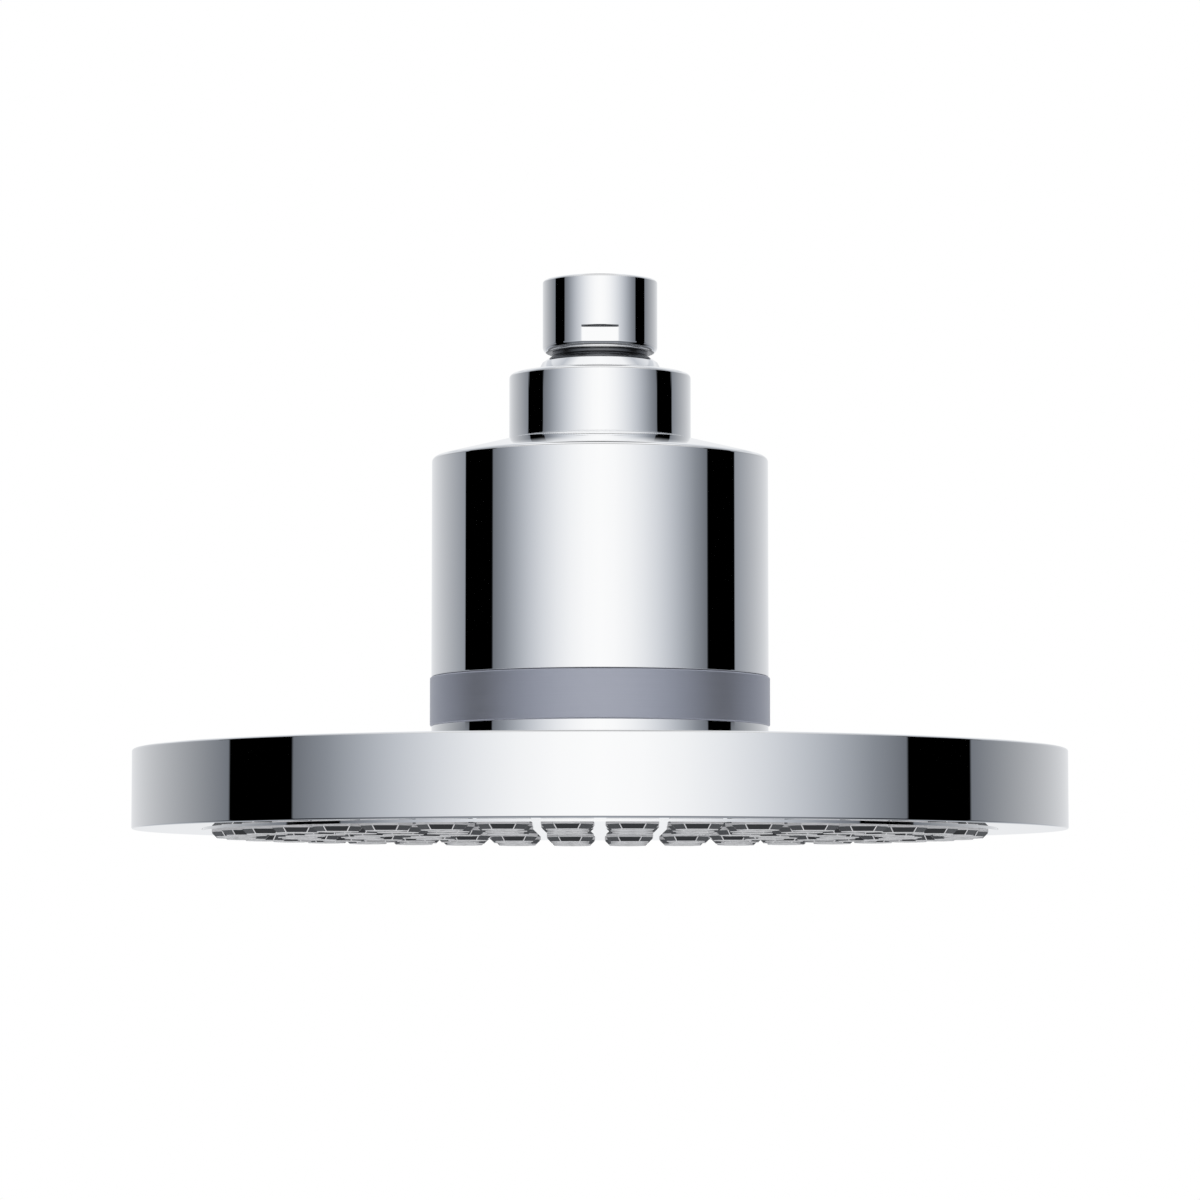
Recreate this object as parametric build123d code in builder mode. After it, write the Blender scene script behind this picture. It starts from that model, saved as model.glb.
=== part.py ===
from build123d import *
from math import cos, pi, radians, sin
import os

# Filtered rain shower head with a ball joint and a screw-on filter housing.
# Millimetres, +Z up. The origin is on the axis, in the plane of the nozzle tips,
# so the head stands face down on z = 0 and the pipe comes in at the top.

# Spray disc
disc_radius = 100.0
disc_height = 16.9
disc_wall = 3.0
disc_edge_round = 0.4
rim_thickness = 2.6
insert_margin = 15.0
insert_proud = 0.3
insert_ledge = 3.0
insert_ledge_depth = 1.2
fit_gap = 0.1

# Silicone nozzles
nozzle_height = 1.5
nozzle_cone_height = 0.15
nozzle_root_radius = 5.3
nozzle_shoulder_radius = 4.15
nozzle_tip_radius = 1.5
outlet_radius = 0.6
nozzle_hole_gap = 0.08
mat_thickness = 1.6
mat_margin = 0.5
ring_count = 4
first_ring_radius = 38.1
last_ring_margin = 7.0
nozzle_spacing = 12.6

# Water chamber behind the nozzles
chamber_height = 4.0
chamber_plate_thickness = 2.2
chamber_clamp_width = 4.5
chamber_rim_gap = 1.0
post_radius = 3.2
screw_count = 6
screw_radius = 1.4
screw_length = 6.5
screw_head_radius = 2.8
screw_head_height = 1.9
screw_hole_radius = 1.7
stub_radius = 10.45
stub_bore_radius = 7.5

# Back cover of the disc
cover_thickness = 2.0
cover_rise = 1.7
cover_crown_share = 0.62
cover_seat_width = 1.4
cover_land_margin = 1.3
cover_hub_wall = 4.3

# Filter base, grip ring and lock nut
base_radius = 36.2
base_floor = 3.0
band_height = 3.7
spigot_inset = 3.2
spigot_wall = 2.3
spigot_rise = 11.5
ledge_width = 3.5
ledge_height = 4.5
grip_proud = 0.35
grip_height = 10.4
grip_edge_round = 0.3
stub_washer_radius = 16.0
stub_washer_thickness = 1.5
lock_nut_radius = 15.0
lock_nut_height = 2.6
stub_end = 0.4

# Filter housing
housing_proud = 0.05
housing_height = 47.1
housing_seam = 0.1
shoulder_rise = 4.2
shoulder_edge_round = 0.9
roof_thickness = 2.9
screw_gap = 0.35
seal_section = 0.8
seal_gap = 0.1
seal_depth = 2.2
neck_wall = 2.0
neck_height = 8.1
neck_floor = 2.0
neck_drop = 6.5
neck_opening_radius = 9.0
rib_inset = 1.3
rib_width = 2.0
rib_gap = 0.1

# Filter cartridge
cartridge_gap = 0.4
cartridge_wall = 1.8
cartridge_floor = 2.0
cartridge_seal_thickness = 1.5
cartridge_seal_width = 3.0
cup_height = 46.6
cap_flange = 2.0
cap_plug = 4.0
cap_web = 2.0
screen_thickness = 0.6
pad_thickness = 4.0
carbon_depth = 12.0
calcium_depth = 11.0
slot_count = 12
slot_width = 2.2
slot_inner_radius = 8.0
slot_margin = 5.4

# Ball joint
collar_wall = 2.4
collar_height = 14.15
collar_lip = 1.4
collar_top_round = 0.8
ball_radius = 14.3
ball_depth = 4.4
ball_gap = 0.15
socket_wall = 0.75
ball_bottom_angle = 58.0
ball_top_angle = 29.1
ball_bore_radius = 5.5
seat_rim_drop = 1.5
seat_opening_radius = 8.2
ball_seal_section = 1.2
ball_seal_angle = 36.0

# Pipe connector above the ball
stem_radius = 10.3
stem_height = 0.65
stem_cone_rise = 1.5
nut_radius = 12.4
nut_height = 15.75
nut_bottom_round = 1.4
nut_top_round = 0.5
nut_flat_distance = 11.77
nut_flat_height = 4.3
thread_bore_radius = 9.32
thread_length = 9.3
mouth_chamfer = 0.8
washer_groove_radius = 10.1
washer_groove_height = 2.3
washer_thickness = 2.1
washer_bore_radius = 6.6
screen_dome_rise = 1.6
inlet_screen_thickness = 0.4
regulator_radius = 7.4
regulator_thickness = 3.0
regulator_port_radius = 1.1
regulator_port_count = 6
regulator_port_circle = 4.2

# Heights, from the nozzle tips up
face_z = nozzle_height
rim_z = face_z + insert_proud
ledge_z = rim_z + insert_ledge_depth
mat_z = rim_z + rim_thickness
mat_top_z = mat_z + mat_thickness
chamber_top_z = mat_top_z + chamber_height
chamber_plate_top_z = chamber_top_z + chamber_plate_thickness
disc_top_z = rim_z + disc_height
base_z = disc_top_z + cover_rise
base_floor_z = base_z + base_floor
washer_top_z = base_floor_z + stub_washer_thickness
lock_nut_top_z = washer_top_z + lock_nut_height
grip_z = base_z + band_height
grip_top_z = grip_z + grip_height
housing_z = grip_top_z + housing_seam
spigot_top_z = housing_z + spigot_rise
seal_z = spigot_top_z - seal_depth
ledge_top_z = base_floor_z + ledge_height
cup_z = ledge_top_z + cartridge_seal_thickness
cup_top_z = cup_z + cup_height
cap_top_z = cup_top_z + cap_flange
shoulder_z = housing_z + housing_height
collar_z = shoulder_z + shoulder_rise
collar_top_z = collar_z + collar_height
lip_z = collar_top_z - collar_lip
neck_top_z = collar_z + neck_height
neck_floor_z = collar_z - neck_drop
seat_z = neck_floor_z + neck_floor
ball_z = collar_top_z - ball_depth

# Radii that follow from the fits
insert_radius = disc_radius - insert_margin
flange_radius = insert_radius + insert_ledge
mat_radius = flange_radius - mat_margin
disc_bore_radius = disc_radius - disc_wall
post_circle_radius = (flange_radius + disc_bore_radius) / 2
stub_hole_radius = stub_radius + fit_gap
cover_edge_radius = disc_bore_radius + cover_seat_width
cover_land_radius = base_radius + cover_land_margin
grip_radius = base_radius + grip_proud
housing_radius = base_radius + housing_proud
spigot_radius = base_radius - spigot_inset
spigot_bore_radius = spigot_radius - spigot_wall
housing_bore_radius = spigot_radius + screw_gap
cartridge_radius = spigot_bore_radius - cartridge_gap
cup_bore_radius = cartridge_radius - cartridge_wall
bed_radius = cup_bore_radius - fit_gap
slot_outer_radius = bed_radius - slot_margin
rib_radius = cartridge_radius - rib_inset
socket_radius = ball_radius + ball_gap
neck_bore_radius = socket_radius + socket_wall
neck_radius = neck_bore_radius + neck_wall
collar_radius = neck_radius + collar_wall
ball_seal_radius = socket_radius + ball_seal_section

os.makedirs("parts", exist_ok=True)


def band(inner, outer, low, high, mode=Mode.ADD):
    """A rectangle of the half section, between two radii and two heights."""
    with Locations(((inner + outer) / 2, (low + high) / 2)):
        Rectangle(outer - inner, high - low, mode=mode)


def by_latitude(radius, angle):
    """Radius and height of the point at this latitude on a sphere about the ball's centre."""
    return radius * cos(radians(angle)), ball_z + radius * sin(radians(angle))


# One place for each nozzle, in evenly spaced rings that leave the line to the front clear and
# the middle of the face plain
last_ring_radius = insert_radius - last_ring_margin
nozzle_places = []
for ring in range(ring_count):
    ring_radius = first_ring_radius + ring * (last_ring_radius - first_ring_radius) / (ring_count - 1)
    nozzle_count = 2 * int(pi * ring_radius / nozzle_spacing)
    nozzle_places += PolarLocations(
        ring_radius, nozzle_count, start_angle=90 + 180 / nozzle_count, rotate=False
    )


def hexagons(radius, mode=Mode.ADD):
    """A hexagon at each nozzle's place, all with a flat side to the front."""
    with Locations(*nozzle_places):
        RegularPolygon(radius, 6, mode=mode)


def water_slots():
    """Radial slots that let the water through the ends of the cartridge."""
    slot_length = slot_outer_radius - slot_inner_radius
    with PolarLocations(slot_inner_radius + slot_length / 2, slot_count):
        Rectangle(slot_length, slot_width, mode=Mode.SUBTRACT)


# Pipe connector: nut with two wrench flats, short stem and hollow ball, turned in one piece
stem_z = by_latitude(ball_radius, ball_top_angle)[1] + stem_cone_rise
nut_z = stem_z + stem_height
nut_top_z = nut_z + nut_height
thread_z = nut_top_z - mouth_chamfer - thread_length
washer_z = thread_z - washer_groove_height
regulator_z = washer_z - regulator_thickness
regulator_seat_radius = regulator_radius + fit_gap

with BuildPart() as swivel_connector:
    with BuildSketch(Plane.XZ):
        with BuildLine():
            ball_curve = CenterArc(
                (0, ball_z), ball_radius, -ball_bottom_angle, ball_bottom_angle + ball_top_angle
            )
            Polyline(
                ball_curve @ 1,
                (stem_radius, stem_z),
                (stem_radius, nut_z),
                (nut_radius, nut_z),
                (nut_radius, nut_top_z),
                (thread_bore_radius + mouth_chamfer, nut_top_z),
                (thread_bore_radius, nut_top_z - mouth_chamfer),
                (thread_bore_radius, thread_z),
                (washer_groove_radius, thread_z),
                (washer_groove_radius, washer_z),
                (regulator_seat_radius, washer_z),
                (regulator_seat_radius, regulator_z),
                (ball_bore_radius, regulator_z),
                (ball_bore_radius, (ball_curve @ 0).Y),
                ball_curve @ 0,
            )
        make_face()
    revolve(axis=Axis.Z)
    with BuildSketch(Plane.XY.offset(nut_z)):
        with Locations((0, -nut_radius), (0, nut_radius)):
            Rectangle(2 * nut_radius, 2 * (nut_radius - nut_flat_distance))
    extrude(amount=nut_flat_height, mode=Mode.SUBTRACT)
    nut_underside = faces().filter_by(Plane.XY).filter_by_position(Axis.Z, nut_z, nut_z)[0]
    fillet(nut_underside.outer_wire().edges(), nut_bottom_round)
    fillet(faces().sort_by(Axis.Z)[-1].outer_wire().edges(), nut_top_round)
swivel_connector.part.label = "swivel_connector"
export_step(swivel_connector.part, "parts/swivel_connector.step")

# Rubber washer in the groove below the thread
with BuildPart() as inlet_washer:
    with BuildSketch(Plane.XZ):
        band(washer_bore_radius, washer_groove_radius - fit_gap, washer_z, washer_z + washer_thickness)
    revolve(axis=Axis.Z)
inlet_washer.part.label = "inlet_washer"
export_step(inlet_washer.part, "parts/inlet_washer.step")

# Domed stainless screen that keeps grit out, standing inside the washer
screen_rim_radius = washer_bore_radius - fit_gap
screen_crown_z = washer_z + screen_dome_rise
with BuildPart() as inlet_screen:
    with BuildSketch(Plane.XZ):
        with BuildLine():
            Polyline(
                (0, screen_crown_z),
                (0, screen_crown_z - inlet_screen_thickness),
                (screen_rim_radius - inlet_screen_thickness, washer_z),
                (screen_rim_radius, washer_z),
                (screen_rim_radius, washer_z + inlet_screen_thickness),
                close=True,
            )
        make_face()
    revolve(axis=Axis.Z)
inlet_screen.part.label = "inlet_screen"
export_step(inlet_screen.part, "parts/inlet_screen.step")

# Flow regulator: a loose puck with a ring of ports, in its own step below the washer
with BuildPart() as flow_regulator:
    with BuildSketch(Plane.XY.offset(regulator_z)):
        Circle(regulator_radius)
        with PolarLocations(regulator_port_circle, regulator_port_count):
            Circle(regulator_port_radius, mode=Mode.SUBTRACT)
    extrude(amount=regulator_thickness - fit_gap)
flow_regulator.part.label = "flow_regulator"
export_step(flow_regulator.part, "parts/flow_regulator.step")

# Collar that screws over the housing neck and holds the ball down with its lip
with BuildPart() as retaining_collar:
    with BuildSketch(Plane.XZ):
        band(0, collar_radius, collar_z, collar_top_z)
        band(0, neck_radius + fit_gap, collar_z, lip_z, mode=Mode.SUBTRACT)
        with Locations((0, ball_z)):
            Circle(socket_radius, mode=Mode.SUBTRACT)
    revolve(axis=Axis.Z)
    fillet(edges().filter_by(GeomType.CIRCLE).filter_by_position(
        Axis.Z, collar_top_z, collar_top_z).sort_by(SortBy.LENGTH)[-1], collar_top_round)
retaining_collar.part.label = "retaining_collar"
export_step(retaining_collar.part, "parts/retaining_collar.step")

# Plastic ring under the lip, with the upper half of the socket
with BuildPart() as ball_ring:
    with BuildSketch(Plane.XZ):
        band(0, neck_radius, neck_top_z, lip_z)
        with Locations((0, ball_z)):
            Circle(socket_radius, mode=Mode.SUBTRACT)
    revolve(axis=Axis.Z)
ball_ring.part.label = "ball_ring"
export_step(ball_ring.part, "parts/ball_ring.step")

# Plastic seat in the neck, with the lower half of the socket and a groove for its seal
seal_circle_radius, seal_circle_z = by_latitude(ball_seal_radius, -ball_seal_angle)
with BuildPart() as ball_seat:
    with BuildSketch(Plane.XZ):
        band(seat_opening_radius, neck_bore_radius - fit_gap, seat_z, neck_top_z - seat_rim_drop)
        with Locations((0, ball_z)):
            Circle(socket_radius, mode=Mode.SUBTRACT)
        with Locations((seal_circle_radius, seal_circle_z)):
            Circle(ball_seal_section + fit_gap, mode=Mode.SUBTRACT)
    revolve(axis=Axis.Z)
ball_seat.part.label = "ball_seat"
export_step(ball_seat.part, "parts/ball_seat.step")

# Rubber seal ring that the ball turns on
with BuildPart() as ball_seal:
    with BuildSketch(Plane.XZ):
        with Locations((seal_circle_radius, seal_circle_z)):
            Circle(ball_seal_section)
    revolve(axis=Axis.Z)
ball_seal.part.label = "ball_seal"
export_step(ball_seal.part, "parts/ball_seal.step")

# Filter housing: cylinder with a conical shoulder, a threaded neck above and an open end below
shoulder_slope = shoulder_rise / (housing_radius - collar_radius)


def roof_z(radius):
    """Height of the roof's underside, parallel to the conical shoulder."""
    return shoulder_z + (housing_radius - radius) * shoulder_slope - roof_thickness


neck_skirt_radius = neck_bore_radius + neck_floor
with BuildPart() as filter_housing:
    with BuildSketch(Plane.XZ):
        with BuildLine():
            Polyline(
                (housing_bore_radius, housing_z),
                (housing_radius, housing_z),
                (housing_radius, shoulder_z),
                (collar_radius, collar_z),
                (neck_radius, collar_z),
                (neck_radius, neck_top_z),
                (neck_bore_radius, neck_top_z),
                (neck_bore_radius, seat_z),
                (neck_opening_radius, seat_z),
                (neck_opening_radius, neck_floor_z),
                (neck_skirt_radius, neck_floor_z),
                (neck_skirt_radius, roof_z(neck_skirt_radius)),
                (rib_radius - rib_width, roof_z(rib_radius - rib_width)),
                (rib_radius - rib_width, cap_top_z + rib_gap),
                (rib_radius, cap_top_z + rib_gap),
                (rib_radius, roof_z(rib_radius)),
                (housing_bore_radius, roof_z(housing_bore_radius)),
                close=True,
            )
        make_face()
    revolve(axis=Axis.Z)
    fillet(edges().filter_by(GeomType.CIRCLE).filter_by_position(
        Axis.Z, shoulder_z, shoulder_z).sort_by(SortBy.LENGTH)[-1], shoulder_edge_round)
filter_housing.part.label = "filter_housing"
export_step(filter_housing.part, "parts/filter_housing.step")

# Seal ring between the spigot of the base and the bore of the housing
seal_groove_radius = housing_bore_radius - seal_gap - 2 * seal_section
with BuildPart() as housing_seal:
    with BuildSketch(Plane.XZ):
        with Locations((seal_groove_radius + seal_section, seal_z)):
            Circle(seal_section - fit_gap / 2)
    revolve(axis=Axis.Z)
housing_seal.part.label = "housing_seal"
export_step(housing_seal.part, "parts/housing_seal.step")

# Filter base: visible band, threaded spigot for the housing and a ledge for the cartridge
with BuildPart() as filter_base:
    with BuildSketch(Plane.XZ):
        band(stub_hole_radius, base_radius, base_z, base_floor_z)
        band(spigot_bore_radius, base_radius, base_z, grip_z)
        band(spigot_bore_radius, spigot_radius, base_floor_z, spigot_top_z)
        band(spigot_bore_radius - ledge_width, spigot_bore_radius, base_floor_z, ledge_top_z)
        band(seal_groove_radius, spigot_radius, seal_z - seal_section, seal_z + seal_section,
             mode=Mode.SUBTRACT)
    revolve(axis=Axis.Z)
filter_base.part.label = "filter_base"
export_step(filter_base.part, "parts/filter_base.step")

# Satin ring to grip the base by, round the foot of the spigot
with BuildPart() as grip_ring:
    with BuildSketch(Plane.XZ):
        band(spigot_radius + fit_gap, grip_radius, grip_z, grip_top_z)
    revolve(axis=Axis.Z)
    outer_edges = edges().filter_by(GeomType.CIRCLE).group_by(SortBy.LENGTH)[-1]
    chamfer(outer_edges, grip_edge_round)
grip_ring.part.label = "grip_ring"
export_step(grip_ring.part, "parts/grip_ring.step")

# Washer and lock nut that clamp the base to the threaded stub of the water chamber
with BuildPart() as stub_washer:
    with BuildSketch(Plane.XZ):
        band(stub_hole_radius, stub_washer_radius, base_floor_z, washer_top_z)
    revolve(axis=Axis.Z)
stub_washer.part.label = "stub_washer"
export_step(stub_washer.part, "parts/stub_washer.step")

with BuildPart() as lock_nut:
    with BuildSketch(Plane.XY.offset(washer_top_z)):
        RegularPolygon(lock_nut_radius, 6)
        Circle(stub_hole_radius, mode=Mode.SUBTRACT)
    extrude(amount=lock_nut_height)
lock_nut.part.label = "lock_nut"
export_step(lock_nut.part, "parts/lock_nut.step")

# Filter cartridge: seal, slotted cup, three beds between screens, felt pad and slotted cap
with BuildPart() as cartridge_seal:
    with BuildSketch(Plane.XZ):
        band(cartridge_radius - cartridge_seal_width, cartridge_radius, ledge_top_z, cup_z)
    revolve(axis=Axis.Z)
cartridge_seal.part.label = "cartridge_seal"
export_step(cartridge_seal.part, "parts/cartridge_seal.step")

with BuildPart() as cartridge_cup:
    with BuildSketch(Plane.XY.offset(cup_z)):
        Circle(cartridge_radius)
        water_slots()
    extrude(amount=cartridge_floor)
    with BuildSketch(Plane.XY.offset(cup_z + cartridge_floor)):
        Circle(cartridge_radius)
        Circle(cup_bore_radius, mode=Mode.SUBTRACT)
    extrude(amount=cup_height - cartridge_floor)
cartridge_cup.part.label = "cartridge_cup"
export_step(cartridge_cup.part, "parts/cartridge_cup.step")

with BuildPart() as cartridge_cap:
    with BuildSketch(Plane.XY.offset(cup_top_z)):
        Circle(cartridge_radius)
        water_slots()
    extrude(amount=cap_flange)
    with BuildSketch(Plane.XY.offset(cup_top_z)):
        Circle(bed_radius)
        Circle(bed_radius - cap_web, mode=Mode.SUBTRACT)
    extrude(amount=-cap_plug)
cartridge_cap.part.label = "cartridge_cap"
export_step(cartridge_cap.part, "parts/cartridge_cap.step")

# The beds fill the cup from its floor up to the cap, each with the depth that its medium needs
cup_floor_top_z = cup_z + cartridge_floor
pad_top_z = cup_top_z - cap_plug
layers = [
    ("lower_screen", screen_thickness),
    ("carbon_bed", carbon_depth),
    ("middle_screen", screen_thickness),
    ("calcium_bed", calcium_depth),
    ("upper_screen", screen_thickness),
]
fixed_depth = sum(depth for name, depth in layers) + pad_thickness
copper_zinc_depth = pad_top_z - cup_floor_top_z - fixed_depth
layers += [("copper_zinc_bed", copper_zinc_depth), ("felt_pad", pad_thickness)]
layer_z = cup_floor_top_z
for layer_name, depth in layers:
    with BuildPart() as layer:
        with BuildSketch(Plane.XY.offset(layer_z)):
            Circle(bed_radius)
        extrude(amount=depth)
    layer.part.label = layer_name
    export_step(layer.part, f"parts/{layer_name}.step")
    layer_z += depth

# Domed back cover of the disc, with a hub that stands on the water chamber
cover_crown_radius = (cover_edge_radius + cover_land_radius) / 2
cover_crown_z = disc_top_z + cover_crown_share * cover_rise
with BuildPart() as back_cover:
    with BuildSketch(Plane.XZ):
        with BuildLine():
            upper_curve = ThreePointArc(
                (cover_edge_radius - fit_gap, disc_top_z),
                (cover_crown_radius, cover_crown_z),
                (cover_land_radius, base_z),
            )
            lower_curve = ThreePointArc(
                (cover_land_radius, base_z - cover_thickness),
                (cover_crown_radius, cover_crown_z - cover_thickness),
                (cover_edge_radius - fit_gap, disc_top_z - cover_thickness),
            )
            Polyline(
                upper_curve @ 1,
                (stub_hole_radius, base_z),
                (stub_hole_radius, chamber_plate_top_z),
                (stub_hole_radius + cover_hub_wall, chamber_plate_top_z),
                (stub_hole_radius + cover_hub_wall, base_z - cover_thickness),
                lower_curve @ 0,
            )
            Line(lower_curve @ 1, upper_curve @ 0)
        make_face()
    revolve(axis=Axis.Z)
back_cover.part.label = "back_cover"
export_step(back_cover.part, "parts/back_cover.step")

# Disc body: outer wall and bottom rim, with posts for the screws of the water chamber
with BuildPart() as disc_body:
    with BuildSketch(Plane.XZ):
        band(disc_bore_radius, disc_radius, rim_z, disc_top_z)
        band(insert_radius + fit_gap, disc_bore_radius, rim_z, mat_z)
        band(insert_radius, flange_radius + fit_gap, ledge_z, mat_z, mode=Mode.SUBTRACT)
        band(disc_bore_radius, cover_edge_radius, disc_top_z - cover_thickness, disc_top_z,
             mode=Mode.SUBTRACT)
    revolve(axis=Axis.Z)
    rim_edges = edges().filter_by(GeomType.CIRCLE).group_by(SortBy.LENGTH)[-1]
    fillet(rim_edges, disc_edge_round)
    with BuildSketch(Plane.XY.offset(mat_z)):
        with PolarLocations(post_circle_radius, screw_count):
            Circle(post_radius)
            Circle(screw_radius, mode=Mode.SUBTRACT)
    extrude(amount=chamber_top_z - mat_z)
disc_body.part.label = "disc_body"
export_step(disc_body.part, "parts/disc_body.step")

# Spray plate: an insert with a hexagonal hole for each nozzle, held by its flange
with BuildPart() as spray_plate:
    with BuildSketch(Plane.XY.offset(face_z)):
        Circle(insert_radius)
        hexagons(nozzle_root_radius + nozzle_hole_gap, mode=Mode.SUBTRACT)
    extrude(amount=mat_z - face_z)
    with BuildSketch(Plane.XY.offset(ledge_z)):
        Circle(flange_radius)
        Circle(insert_radius, mode=Mode.SUBTRACT)
    extrude(amount=mat_z - ledge_z)
spray_plate.part.label = "spray_plate"
export_step(spray_plate.part, "parts/spray_plate.step")

# One silicone nozzle: a hexagonal shaft that tapers in two steps to its outlet, the part that
# three bars of this profile share when they cross at 60 degrees
across_flats = cos(radians(30))
nozzle_profile = [
    (nozzle_tip_radius * across_flats, 0),
    (nozzle_shoulder_radius * across_flats, nozzle_cone_height),
    (nozzle_root_radius * across_flats, face_z),
    (nozzle_root_radius * across_flats, mat_z),
]
with BuildPart() as nozzle:
    for turn, mode in ((0, Mode.ADD), (60, Mode.INTERSECT), (120, Mode.INTERSECT)):
        with BuildSketch(Plane.YZ.rotated((0, 0, turn))):
            with BuildLine():
                Polyline(*nozzle_profile, (0, mat_z), (0, 0), close=True)
            make_face()
            mirror(about=Plane.YZ)
        extrude(amount=nozzle_root_radius, both=True, mode=mode)
    with BuildSketch():
        RegularPolygon(outlet_radius, 6)
    extrude(amount=mat_z, mode=Mode.SUBTRACT)

# Silicone mat that carries all the nozzles, one through each hole of the spray plate
with BuildPart() as nozzle_mat:
    with BuildSketch(Plane.XY.offset(mat_z)):
        Circle(mat_radius)
        hexagons(outlet_radius, mode=Mode.SUBTRACT)
    extrude(amount=mat_thickness)
    with Locations(*nozzle_places):
        add(nozzle.part)
nozzle_mat.part.label = "nozzle_mat"
export_step(nozzle_mat.part, "parts/nozzle_mat.step")

# Plate that closes the water chamber, clamps the mat and carries the threaded stub
with BuildPart() as chamber_plate:
    with BuildSketch(Plane.XZ):
        band(0, disc_bore_radius - chamber_rim_gap, chamber_top_z, chamber_plate_top_z)
        band(mat_radius - chamber_clamp_width, mat_radius, mat_top_z, chamber_top_z)
        band(0, stub_radius, chamber_plate_top_z, lock_nut_top_z + stub_end)
        band(0, stub_bore_radius, chamber_top_z, lock_nut_top_z + stub_end, mode=Mode.SUBTRACT)
    revolve(axis=Axis.Z)
    with BuildSketch(Plane.XY.offset(chamber_top_z)):
        with PolarLocations(post_circle_radius, screw_count):
            Circle(screw_hole_radius)
    extrude(amount=chamber_plate_thickness, mode=Mode.SUBTRACT)
chamber_plate.part.label = "chamber_plate"
export_step(chamber_plate.part, "parts/chamber_plate.step")

# Screws that pull the chamber plate down on the posts of the disc body
with BuildPart() as chamber_screws:
    with BuildSketch(Plane.XY.offset(chamber_plate_top_z)):
        with PolarLocations(post_circle_radius, screw_count):
            Circle(screw_head_radius)
    extrude(amount=screw_head_height)
    with BuildSketch(Plane.XY.offset(chamber_plate_top_z)):
        with PolarLocations(post_circle_radius, screw_count):
            Circle(screw_radius)
    extrude(amount=-screw_length)
chamber_screws.part.label = "chamber_screws"
export_step(chamber_screws.part, "parts/chamber_screws.step")
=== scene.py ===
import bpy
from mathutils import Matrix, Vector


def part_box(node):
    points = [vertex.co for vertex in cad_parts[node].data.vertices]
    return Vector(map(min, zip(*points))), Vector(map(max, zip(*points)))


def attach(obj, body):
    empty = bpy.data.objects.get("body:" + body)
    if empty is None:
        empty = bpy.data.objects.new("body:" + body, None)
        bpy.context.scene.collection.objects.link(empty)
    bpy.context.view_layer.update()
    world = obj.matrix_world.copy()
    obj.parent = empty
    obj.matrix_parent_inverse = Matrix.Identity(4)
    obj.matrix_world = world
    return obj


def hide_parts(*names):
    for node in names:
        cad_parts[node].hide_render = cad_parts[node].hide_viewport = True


bl_info = {
    "name": "Filtered Shower Head",
    "version": (1, 0, 0),
    "blender": (4, 5, 0),
    "location": "View3D > Sidebar > Shower",
    "description": "Chrome surfaces, nozzles and finishes for a filtered rain shower head",
    "category": "Mesh",
}

import math

import bpy
import numpy as np
from bpy.props import FloatProperty, FloatVectorProperty, IntProperty, PointerProperty
from bpy.types import Operator, Panel, PropertyGroup

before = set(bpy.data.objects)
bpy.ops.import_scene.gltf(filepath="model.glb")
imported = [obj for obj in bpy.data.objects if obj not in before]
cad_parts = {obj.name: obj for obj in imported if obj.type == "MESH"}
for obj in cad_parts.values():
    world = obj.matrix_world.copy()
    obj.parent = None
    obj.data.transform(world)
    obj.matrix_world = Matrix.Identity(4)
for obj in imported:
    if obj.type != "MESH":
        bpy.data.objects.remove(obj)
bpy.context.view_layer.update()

# Sizes that several pieces share, in metres
SUPPORT = 0.00006
SOFT_CORNER = 0.00012
SMALL_ROUND = 0.0002
ARC_STEPS = 6
TOLERANCE = 1e-7
FIT = 0.0001
SHOULDER_RISE = 0.0042
COLLAR_WALL = 0.0024
SPIGOT_INSET = 0.0032
SCREW_GAP = 0.00035
STUB_HOLE = 0.01055
INSERT_LEDGE = 0.003


class ShowerSizes(PropertyGroup):
    """Sizes of the details that the surfaces add."""

    segments: IntProperty(
        name="Segments", description="Steps round each turned piece", default=256, min=48, max=512)
    edge_round: FloatProperty(
        name="Edge Rounding", description="Rounding of the polished edges",
        default=0.0003, unit="LENGTH")
    thread_pitch: FloatProperty(
        name="Thread Pitch", description="Rise of the pipe thread in one turn",
        default=0.001814, unit="LENGTH")
    thread_depth: FloatProperty(
        name="Thread Depth", description="How deep the pipe thread is cut",
        default=0.00105, unit="LENGTH")
    nozzle_spacing: FloatProperty(
        name="Nozzle Spacing", description="Least distance between nozzles along a ring",
        default=0.0126, unit="LENGTH")
    nozzle_edge: FloatProperty(
        name="Nozzle Edge", description="Width of the softened edges of each nozzle",
        default=0.00015, unit="LENGTH")


class ShowerColours(PropertyGroup):
    """Colours of the finishes."""

    chrome: FloatVectorProperty(
        name="Chrome", description="Polished chrome plate",
        default=(0.985, 0.987, 0.99), subtype="COLOR", size=3)
    grip: FloatVectorProperty(
        name="Grip Ring", description="Satin grey ring",
        default=(0.435, 0.455, 0.53), subtype="COLOR", size=3)
    silicone: FloatVectorProperty(
        name="Silicone", description="Dark grey nozzles",
        default=(0.026, 0.027, 0.029), subtype="COLOR", size=3)
    # Painted highlight: a pale colour on the nozzles' edges that stands in for light caught on
    # their rounded edges
    silicone_edge_highlight: FloatVectorProperty(
        name="Silicone Edge Highlight", description="Painted highlight on the edges of the nozzles",
        default=(0.7, 0.7, 0.72), subtype="COLOR", size=3)
    white_plastic: FloatVectorProperty(
        name="White Plastic", description="Cartridge and its cap",
        default=(0.8, 0.8, 0.78), subtype="COLOR", size=3)


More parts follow.
